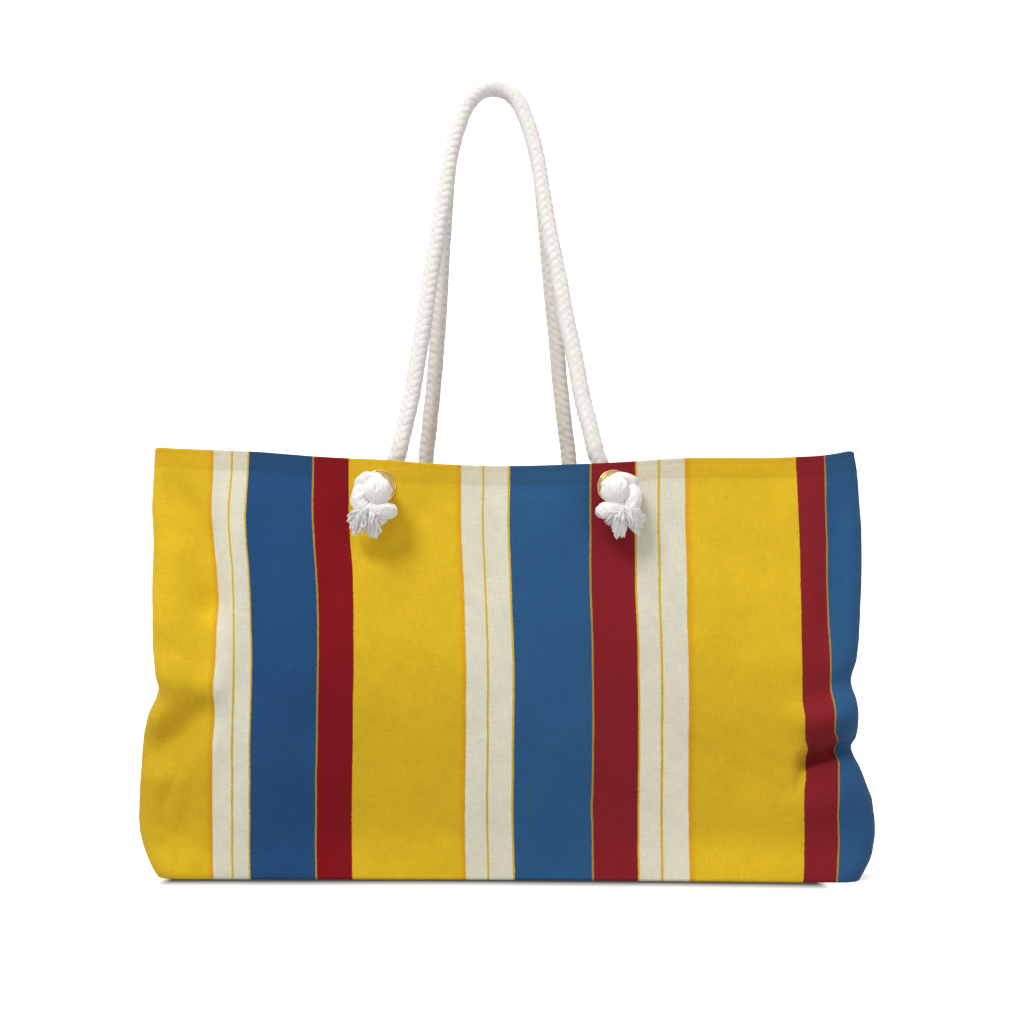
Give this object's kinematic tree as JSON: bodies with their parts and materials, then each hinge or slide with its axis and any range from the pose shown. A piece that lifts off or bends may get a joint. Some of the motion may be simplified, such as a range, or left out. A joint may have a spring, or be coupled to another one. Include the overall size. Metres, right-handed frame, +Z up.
{
  "type": "weekender bag",
  "caption": "Boxy striped canvas weekender bag, open at the top, with tall rope handles knotted outside brass grommets and a lined interior with pockets.",
  "frame": {"origin": "on the ground under the middle of the bag", "axes": "+Z up, +X along the bag's length towards its right side as seen from the front, -Y towards the front"},
  "size_m": [0.575, 0.209, 0.6515],
  "materials": {
    "striped_canvas": "matt printed cotton canvas in wide upright stripes of yellow, off-white, blue and red",
    "lining_cloth": "plain cream cotton",
    "base_board": "stiff fibreboard, hidden",
    "zip_tape": "woven tape",
    "zip_teeth": "moulded nylon",
    "zip_metal": "satin brass plating",
    "brass": "polished",
    "cotton_rope": "braided cotton",
    "rope_yarn": "frayed cotton yarn"
  },
  "bodies": {
    "bag": {"front_panel": "striped_canvas", "back_panel": "striped_canvas", "front_hem": "striped_canvas", "back_hem": "striped_canvas", "front_lining": "lining_cloth", "back_lining": "lining_cloth", "base_board": "base_board", "slip_pocket": "lining_cloth", "zip_pocket_bag": "lining_cloth", "zip_welt": "lining_cloth", "zip_tape_upper": "zip_tape", "zip_tape_lower": "zip_tape", "zip_teeth_upper": "zip_teeth", "zip_teeth_lower": "zip_teeth", "zip_stops": "zip_metal", "front_left_grommet": "brass", "front_right_grommet": "brass", "back_left_grommet": "brass", "back_right_grommet": "brass", "front_left_washer": "brass", "front_right_washer": "brass", "back_left_washer": "brass", "back_right_washer": "brass", "front_rope_ends": "cotton_rope", "front_rope_bends": "cotton_rope", "back_rope_ends": "cotton_rope", "back_rope_bends": "cotton_rope", "front_left_knot": "cotton_rope", "front_right_knot": "cotton_rope", "back_left_knot": "cotton_rope", "back_right_knot": "cotton_rope", "front_left_tassel": "rope_yarn", "front_right_tassel": "rope_yarn", "back_left_tassel": "rope_yarn", "back_right_tassel": "rope_yarn"},
    "front_handle": {"front_rope_loop": "cotton_rope"},
    "back_handle": {"back_rope_loop": "cotton_rope"},
    "zip_slider": {"zip_slider": "zip_metal"},
    "zip_pull": {"zip_pull": "zip_metal"}
  },
  "joints": [
    {"name": "front_handle_swing", "type": "hinge", "parent": "bag", "child": "front_handle", "pos_m": [0, -0.056, 0.336], "axis": [1, 0, 0], "range_deg": [0, 122], "deforming": ["front_rope_bends"]},
    {"name": "back_handle_swing", "type": "hinge", "parent": "bag", "child": "back_handle", "pos_m": [0, 0.056, 0.336], "axis": [-1, 0, 0], "range_deg": [0, 122], "deforming": ["back_rope_bends"]},
    {"name": "zip_slide", "type": "slide", "parent": "bag", "child": "zip_slider", "axis": [1, 0, 0], "range_m": [0, 0.176]},
    {"name": "zip_pull_swing", "type": "hinge", "parent": "zip_slider", "child": "zip_pull", "pos_m": [-0.088, 0.0621, 0.25], "axis": [0, 0, -1], "range_deg": [0, 180]}
  ]
}
